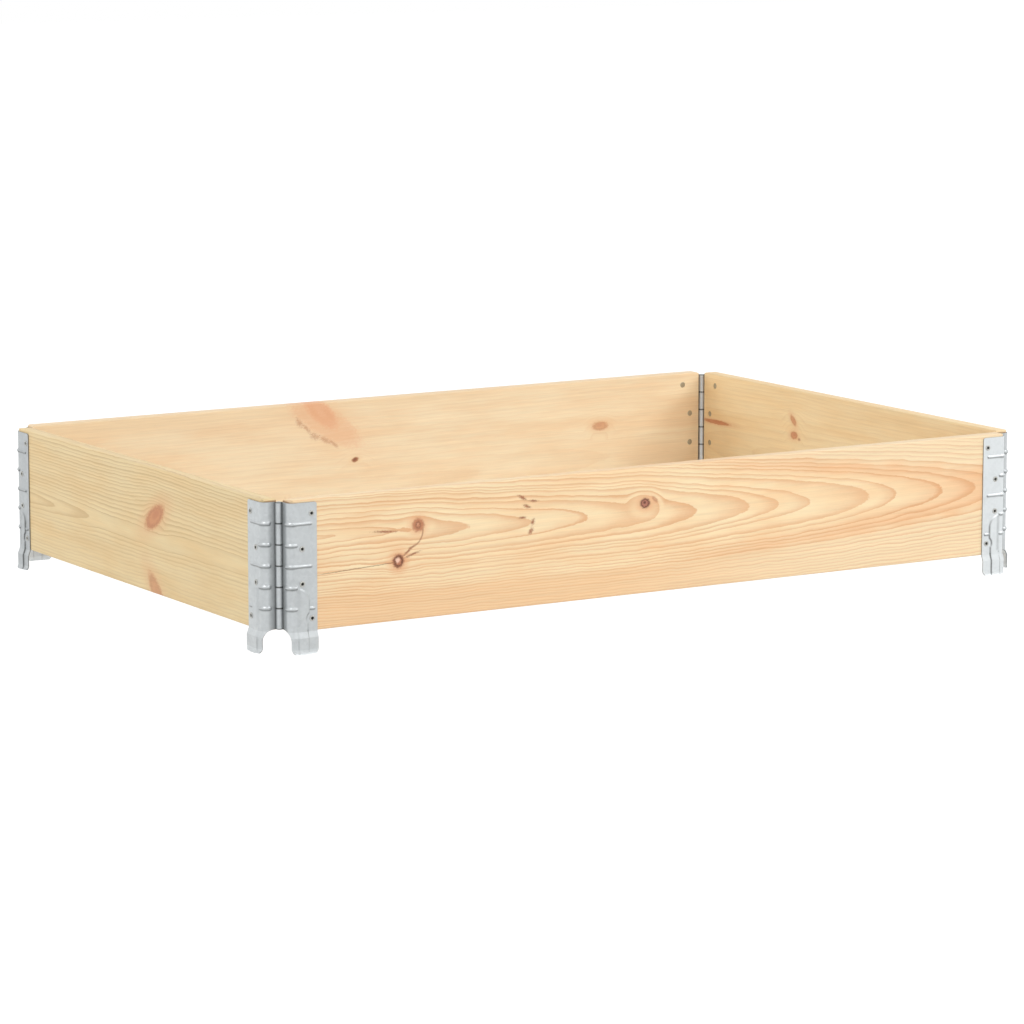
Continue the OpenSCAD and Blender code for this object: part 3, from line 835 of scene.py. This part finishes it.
# Height of the pressed beads, panel and rib, at a distance from the outer corner and a height.
# A bead is a cosine hump over its distance from a straight line; the panel is a plateau whose
# edge distance is made from an arch, a body, a rib and the round land of the lowest rivet.
def pressing(leaf, x, z):
    breaks = rowBreaks(leaf)
    start = leaf["bend"] * (1 - math.pi / 2)
    stops = [leaf["beadLong"], leaf["beadShort"], leaf["beadLong"], leaf["beadShort"], leaf["beadShort"]]
    lines = [(start, stop - leaf["beadEnd"], height) for stop, height in zip(stops, breaks)]
    lines.append((leaf["beadOuter"] - leaf["beadEnd"], leaf["beadOuter"] + leaf["beadEnd"], breaks[-1]))
    # round the bend a bead is wider and higher
    swell = 1 + leaf["beadSwell"] * rise(x, leaf["beadShort"], leaf["beadShort"] - leaf["bend"])
    height = np.zeros_like(x)
    for low, high, level in lines:
        past = np.maximum(np.maximum(low - x, x - high), 0)
        near = np.clip(np.hypot(past, z - level) / (leaf["beadHalf"] * swell), 0, 1)
        height = np.maximum(height, leaf["beadHeight"] * swell * (0.5 + 0.5 * np.cos(math.pi * near)))
    foot = rivetPlaces(leaf)[1][-1]
    spring = breaks[leaf["archBead"]] - leaf["arch"]
    inner = leaf["panelFrom"]
    reach = np.where(z > spring, np.hypot(x - inner, z - spring), x - inner)
    # above the leg the panel rises slowly out of the bend
    slow = 1 - leaf["panelSlow"] * np.clip((z - leaf["boardBottom"]) / leaf["slowHeight"], 0, 1)
    body = np.maximum(np.maximum((inner - x) * slow, reach - leaf["arch"]), foot - z)
    rib = np.maximum(np.maximum((inner - x) * slow, x - inner - leaf["ribWidth"]), z - spring)
    edge = np.minimum(body, rib)
    edge = np.maximum(edge, leaf["land"] - np.hypot(x - leaf["rivetFar"], z - foot))
    panel = rise(leaf["wallFoot"] - edge, 0, 2 * leaf["wall"])
    return np.maximum(height, leaf["panelHeight"] * panel)


# The leaf's plan: straight down the cap, a quarter circle round the board's end, straight along
# its face. s is the way walked from the cap's edge, and out moves off the sheet along its normal.
def bentSheet(leaf, s, out):
    turn = np.clip((s - bendStart(leaf)) / leaf["bend"], 0, math.pi / 2)
    before = np.minimum(s - bendStart(leaf), 0)
    after = np.maximum(s - bendStop(leaf), 0)
    radius = leaf["bend"] + out
    x = leaf["cap"] + leaf["bend"] - radius * np.cos(turn) + after
    y = leaf["bend"] - leaf["skin"] - leaf["sheet"] - radius * np.sin(turn) - before
    return x, y


# Where the sheet starts at a height: at the cap's edge, and below it on the curve to the leg, a
# circle seen along the corner's diagonal
def sheetStart(leaf, z, out):
    fall = np.clip(z - faceBottom(leaf) + leaf["legCurve"], 0, leaf["legCurve"])
    diagonal = leaf["cap"] + leaf["notch"] + math.sqrt(2) * np.sqrt(leaf["legCurve"] ** 2 - fall ** 2)
    radius = leaf["bend"] + out
    middle = leaf["cap"] + leaf["skin"] + leaf["sheet"]
    lean = np.clip((diagonal - middle) / (math.sqrt(2) * radius), -math.sqrt(0.5), math.sqrt(0.5))
    rest = diagonal - middle - math.sqrt(2) * radius * lean
    start = bendStart(leaf) + leaf["bend"] * (np.arcsin(lean) + math.pi / 4) + rest
    corner = np.maximum(leaf["footCorner"] - z, 0)
    return start + leaf["footCorner"] - np.sqrt(leaf["footCorner"] ** 2 - corner ** 2)


# Where it stops: at the face's outer edge, with round corners at the head and the foot
def sheetStop(leaf, z):
    stop = bendStop(leaf) + leaf["width"] - leaf["bend"]
    foot = np.maximum(leaf["footCorner"] - z, 0)
    head = np.maximum(z - leaf["top"] + leaf["topCorner"], 0)
    stop = stop - leaf["footCorner"] + np.sqrt(leaf["footCorner"] ** 2 - foot ** 2)
    return stop - leaf["topCorner"] + np.sqrt(leaf["topCorner"] ** 2 - head ** 2)


# Heights of the grid's rows, closer together at the beads, on the leg and at the ends
def rowHeights(leaf):
    fine = np.linspace(0, leaf["top"], rowWeights["samples"])
    bottom = faceBottom(leaf)
    more, reach = rowWeights["leg"]
    weight = 1 + more * (fine < bottom + reach)
    spots = [(level, "bead") for level in rowBreaks(leaf)]
    for level, kind in spots + [(bottom, "bottom"), (0, "end"), (leaf["top"], "end")]:
        more, reach = rowWeights[kind]
        weight += more * np.exp(-((fine - level) / reach) ** 2)
    way = np.concatenate([[0], np.cumsum((weight[1:] + weight[:-1]) / 2)])
    return np.interp(np.linspace(0, way[-1], leaf["gridRows"]), way, fine)


# The grid of the sheet's outer face, with holes for the rivets, and the painted shade on it: on the
# flanks that face down, along the pressed walls and in the groove beside the knuckles
def leafSheet(leaf, wallShade):
    z = rowHeights(leaf)[:, None]
    leg = legOut(leaf, z)
    start, stop = sheetStart(leaf, z, leg), sheetStop(leaf, z)
    s = start + (stop - start) * np.linspace(0, 1, leaf["gridColumns"])[None, :]
    x = s - bendStop(leaf) + leaf["bend"]
    z = np.broadcast_to(z, s.shape)
    raised = pressing(leaf, x, z)
    # the sheet is not quite flat: two sine waves, one times the other
    wavy = leaf["wavy"] * np.sin(x / 9 + z / 17) * np.sin(z / 23 - x / 31)
    px, py = bentSheet(leaf, s, leg + raised + wavy)
    # Painted shade on the flanks that face down
    under = np.gradient(raised, axis=0) / np.gradient(z, axis=0)
    # Painted shade along the pressed walls across the sheet, stronger on some leaves, and a cap on all of it
    beside = np.abs(np.gradient(raised, axis=1) / np.gradient(x, axis=1))
    most = leaf["mostShade"] + leaf["wallShadeMost"] * wallShade
    paintedShadeAndSoil = np.clip(leaf["underShade"] * under + wallShade * beside, 0, most)
    points = np.stack([px, py, z], -1).reshape(-1, 3)
    faces = gridFaces(*s.shape)
    middle = np.stack([x, z], -1).reshape(-1, 2)[faces].mean(1)
    outer, heights = rivetPlaces(leaf)
    holes = np.hypot(middle[:, :1] - outer, middle[:, 1:] - heights).min(1) < leaf["rivetHole"]
    # Painted shade on the cap beside the knuckles, fading out over the groove's width
    groove = leaf["grooveShade"] * np.clip(1 - s / leaf["groove"], 0, 1)
    return points, faces[~holes], np.maximum(paintedShadeAndSoil, groove).ravel()


# Rolled knuckle: from the cap's edge straight to the pin, then round it; the sheet's outer face
# becomes the inside of the roll, and its two ends get painted shade for the gaps between knuckles
def knuckle(leaf, row):
    rowHeight = (leaf["top"] - faceBottom(leaf)) / leaf["rows"]
    high = leaf["top"] - row * rowHeight - leaf["knuckleGap"] / 2
    low = high - rowHeight + leaf["knuckleGap"]
    turn = np.radians(np.linspace(leaf["rollEnd"], 0, leaf["rollSteps"]))
    x = np.concatenate([leaf["bore"] * np.cos(turn), [leaf["cap"]]])
    y = np.concatenate([leaf["bore"] * np.sin(turn), [-leaf["notch"]]])
    edge, edgeShade = np.array(leaf["knuckleEdge"]), np.array(leaf["edgeShade"])
    z = np.concatenate([low + edge, high - edge[::-1]])
    paintedShadeAndSoil = np.concatenate([edgeShade, edgeShade[::-1]])
    points = np.stack([np.tile(x, len(z)), np.tile(y, len(z)), np.repeat(z, len(x))], -1)
    return points, gridFaces(len(z), len(x)), np.repeat(paintedShadeAndSoil, len(x))


# Sheet and knuckles get their thickness and become one piece; its feet stand on the floor
def addLeaf(leaf, side, end, node):
    paintedLight = leafPaintedLight.get(node, leafPaintedLight["others"])
    shells = [leafSheet(leaf, paintedLight["wallShade"])]
    for row in range(end, leaf["rows"], 2):
        shells.append(knuckle(leaf, row))
    allPoints, allFaces, allShadeAndSoil, allRims, count = [], [], [], [], 0
    for points, faces, paintedShadeAndSoil in shells:
        used = np.unique(faces)
        renumber = np.zeros(len(points), int)
        renumber[used] = np.arange(len(used))
        solid, quads, onRim = thicken(points[used], renumber[faces], leaf["sheet"])
        solid[:, 2] = np.maximum(solid[:, 2], 0)
        allPoints.append(solid)
        allFaces.append(quads + count)
        allShadeAndSoil.append(np.tile(paintedShadeAndSoil[used], 2))
        allRims.append(onRim)
        count += len(solid)
    points = seat(np.vstack(allPoints), side, end)
    faces = np.vstack(allFaces)
    faces = faces if end == 0 else faces[:, ::-1]
    z = points[:, 2] / mm
    # Brighter zinc on the leg's step and flared lip: wear where collars rub, and painted sheen for the light
    # these slopes catch
    onStep = (z < leaf["boardBottom"]) & (z > leaf["boardBottom"] - leaf["stepHeight"])
    zincAndLight = paintedLight["zincAndLight"] + leaf["wornAndSheen"] * (onStep + 1.0 * (z < leaf["flareHeight"]))
    pointValues = {"paintedShadeAndSoil": np.concatenate(allShadeAndSoil), "zincAndLight": zincAndLight}
    faceValues = {"rim": np.concatenate(allRims)}
    piece = addPiece(node + "_pressed", points, faces.tolist(), leafSteel, pointValues, faceValues)
    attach(piece, side)
    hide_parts(node)


for side in sides:
    for end in (0, 1):
        addLeaf(leafSettings, side, end, side + "_leaf_" + ends[side][end])
print("collar: leaves pressed")


# Hollow rivets and pins
rivetSettings = {
    "ring": 4.0, "ringHeight": 0.9, "hollow": 1.9, "hollowDepth": 6.0, "shank": 2.8, "turns": 40,
    "head": 4.25, "headThick": 1.2, "sunk": 0.2, "hingeSet": 0.5,
    "headRound": ((0.9, 0.0), (0.25, 0.08), (0.0, 0.3)),         # in from its edge, and up
    "hollowRound": ((0.05, 0.5), (0.5, 0.0)),                    # in from its wall, and up
    "foldIn": 0.3, "foldLow": 0.05,                              # under the ring
    "rollFrom": -35.0, "rollTo": 180.0, "rollSteps": 16, "rollFlat": 0.72,
    # Painted shade round the roll, by angle in degrees: dark in the fold under the ring, none over its top,
    # then darker down its inner slope and in the hollow
    "unshadedFrom": 25.0, "unshadedTo": 105.0, "shadeTo": 170.0, "foldShade": 0.9,
    "headSoil": 0.05, "hollowShade": 0.45, "headZinc": 0.22, "ringZinc": 0.8,
}


# Revolved solid: the profile's first and last points lie on the axis, the others become rings
def revolve(profile, turns):
    angle = np.linspace(0, 2 * math.pi, turns, endpoint=False)
    radius, height = profile[1:-1, 0], profile[1:-1, 1]
    rings = np.stack([
        np.outer(radius, np.cos(angle)),
        np.outer(radius, np.sin(angle)),
        np.repeat(height[:, None], turns, 1),
    ], -1).reshape(-1, 3)
    points = np.vstack([rings, [[0, 0, profile[0, 1]], [0, 0, profile[-1, 1]]]])
    index = np.arange(len(radius) * turns).reshape(len(radius), turns)
    beside = np.roll(index, -1, axis=1)
    quads = np.stack([index[:-1], beside[:-1], beside[1:], index[1:]], -1).reshape(-1, 4)
    first, last = len(rings), len(rings) + 1
    startFan = np.stack([np.full(turns, first), beside[0], index[0]], -1)
    stopFan = np.stack([np.full(turns, last), index[-1], beside[-1]], -1)
    return points, quads, np.vstack([startFan, stopFan])


# Profile of a rivet, from its head inside the board to the bottom of its hollow, and the painted
# shade on it, in the fold under the ring, on its inner slope and in the hollow, with a faint tint on
# the head; height 0 is the leaf's face. The ring is half a circle rolled over from the hollow's edge.
def rivetProfile(rivet, leaf):
    head = -(leaf["skin"] - rivet["hingeSet"] - rivet["sunk"] + leaf["sheet"])
    under = head + rivet["headThick"]
    inner = [(0, head)] + [(rivet["head"] - inset, head + up) for inset, up in rivet["headRound"]]
    inner += [(rivet["head"], under), (rivet["shank"], under)]
    fold = [(rivet["shank"], -rivet["foldLow"]), (rivet["ring"] - rivet["foldIn"], 0.0)]
    roll = np.linspace(rivet["rollFrom"], rivet["rollTo"], rivet["rollSteps"])
    middle = (rivet["ring"] + rivet["hollow"]) / 2
    wide = (rivet["ring"] - rivet["hollow"]) / 2
    high = wide * rivet["rollFlat"]
    ringX = middle + wide * np.cos(np.radians(roll))
    ringY = rivet["ringHeight"] - high + high * np.sin(np.radians(roll))
    bottom = -rivet["hollowDepth"]
    outer = [(rivet["hollow"], 0.0)]
    outer += [(rivet["hollow"] - inset, bottom + up) for inset, up in rivet["hollowRound"]]
    outer += [(0, bottom)]
    shadeAt = [rivet["rollFrom"], rivet["unshadedFrom"], rivet["unshadedTo"], rivet["shadeTo"]]
    ringShade = np.interp(roll, shadeAt, [rivet["foldShade"], 0.0, 0.0, rivet["hollowShade"]])
    paintedShadeAndSoil = np.concatenate([
        np.full(len(inner), rivet["headSoil"]),
        np.full(len(fold), rivet["foldShade"]),
        ringShade,
        np.full(len(outer), rivet["hollowShade"]),
    ])
    return np.vstack([inner, fold, np.stack([ringX, ringY], -1), outer]), paintedShadeAndSoil


def addRivets(rivet, leaf, side, end, node):
    profile, paintedShadeAndSoil = rivetProfile(rivet, leaf)
    points, quads, fans = revolve(profile, rivet["turns"])
    count = len(points)
    outer, heights = rivetPlaces(leaf)
    # the revolve's axis turns to point out of the board's face
    turned = np.stack([points[:, 0], -points[:, 2] - leaf["skin"] - leaf["sheet"], points[:, 1]], -1)
    shift = np.stack([outer + leaf["cap"], np.zeros(len(outer)), heights], -1)
    every = (turned[None] + shift[:, None]).reshape(-1, 3)
    offsets = (np.arange(len(outer)) * count)[:, None, None]
    quads = (quads[None] + offsets).reshape(-1, 4)
    fans = (fans[None] + offsets).reshape(-1, 3)
    flip = slice(None) if end == 0 else slice(None, None, -1)
    faces = quads[:, flip].tolist() + fans[:, flip].tolist()
    paintedShadeAndSoil = np.concatenate([np.repeat(paintedShadeAndSoil[1:-1], rivet["turns"]), paintedShadeAndSoil[[0, -1]]])
    onHead = points[:, 2] < -2 * rivet["hollowDepth"]        # well below the hollow
    zincAndLight = np.where(onHead, rivet["headZinc"], rivet["ringZinc"])
    pointValues = {"paintedShadeAndSoil": np.tile(paintedShadeAndSoil, len(outer)), "zincAndLight": np.tile(zincAndLight, len(outer))}
    piece = addPiece(node + "_rolled", seat(every, side, end), faces, fastenerSteel, pointValues, {})
    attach(piece, side)
    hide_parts(node)


for side in sides:
    for end in (0, 1):
        addRivets(rivetSettings, leafSettings, side, end, side + "_rivets_" + ends[side][end])
for pin in pins:
    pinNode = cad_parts[pin]
    pinNode.data.materials.clear()
    pinNode.data.materials.append(pinSteel)
print("collar: rivets and pins set")
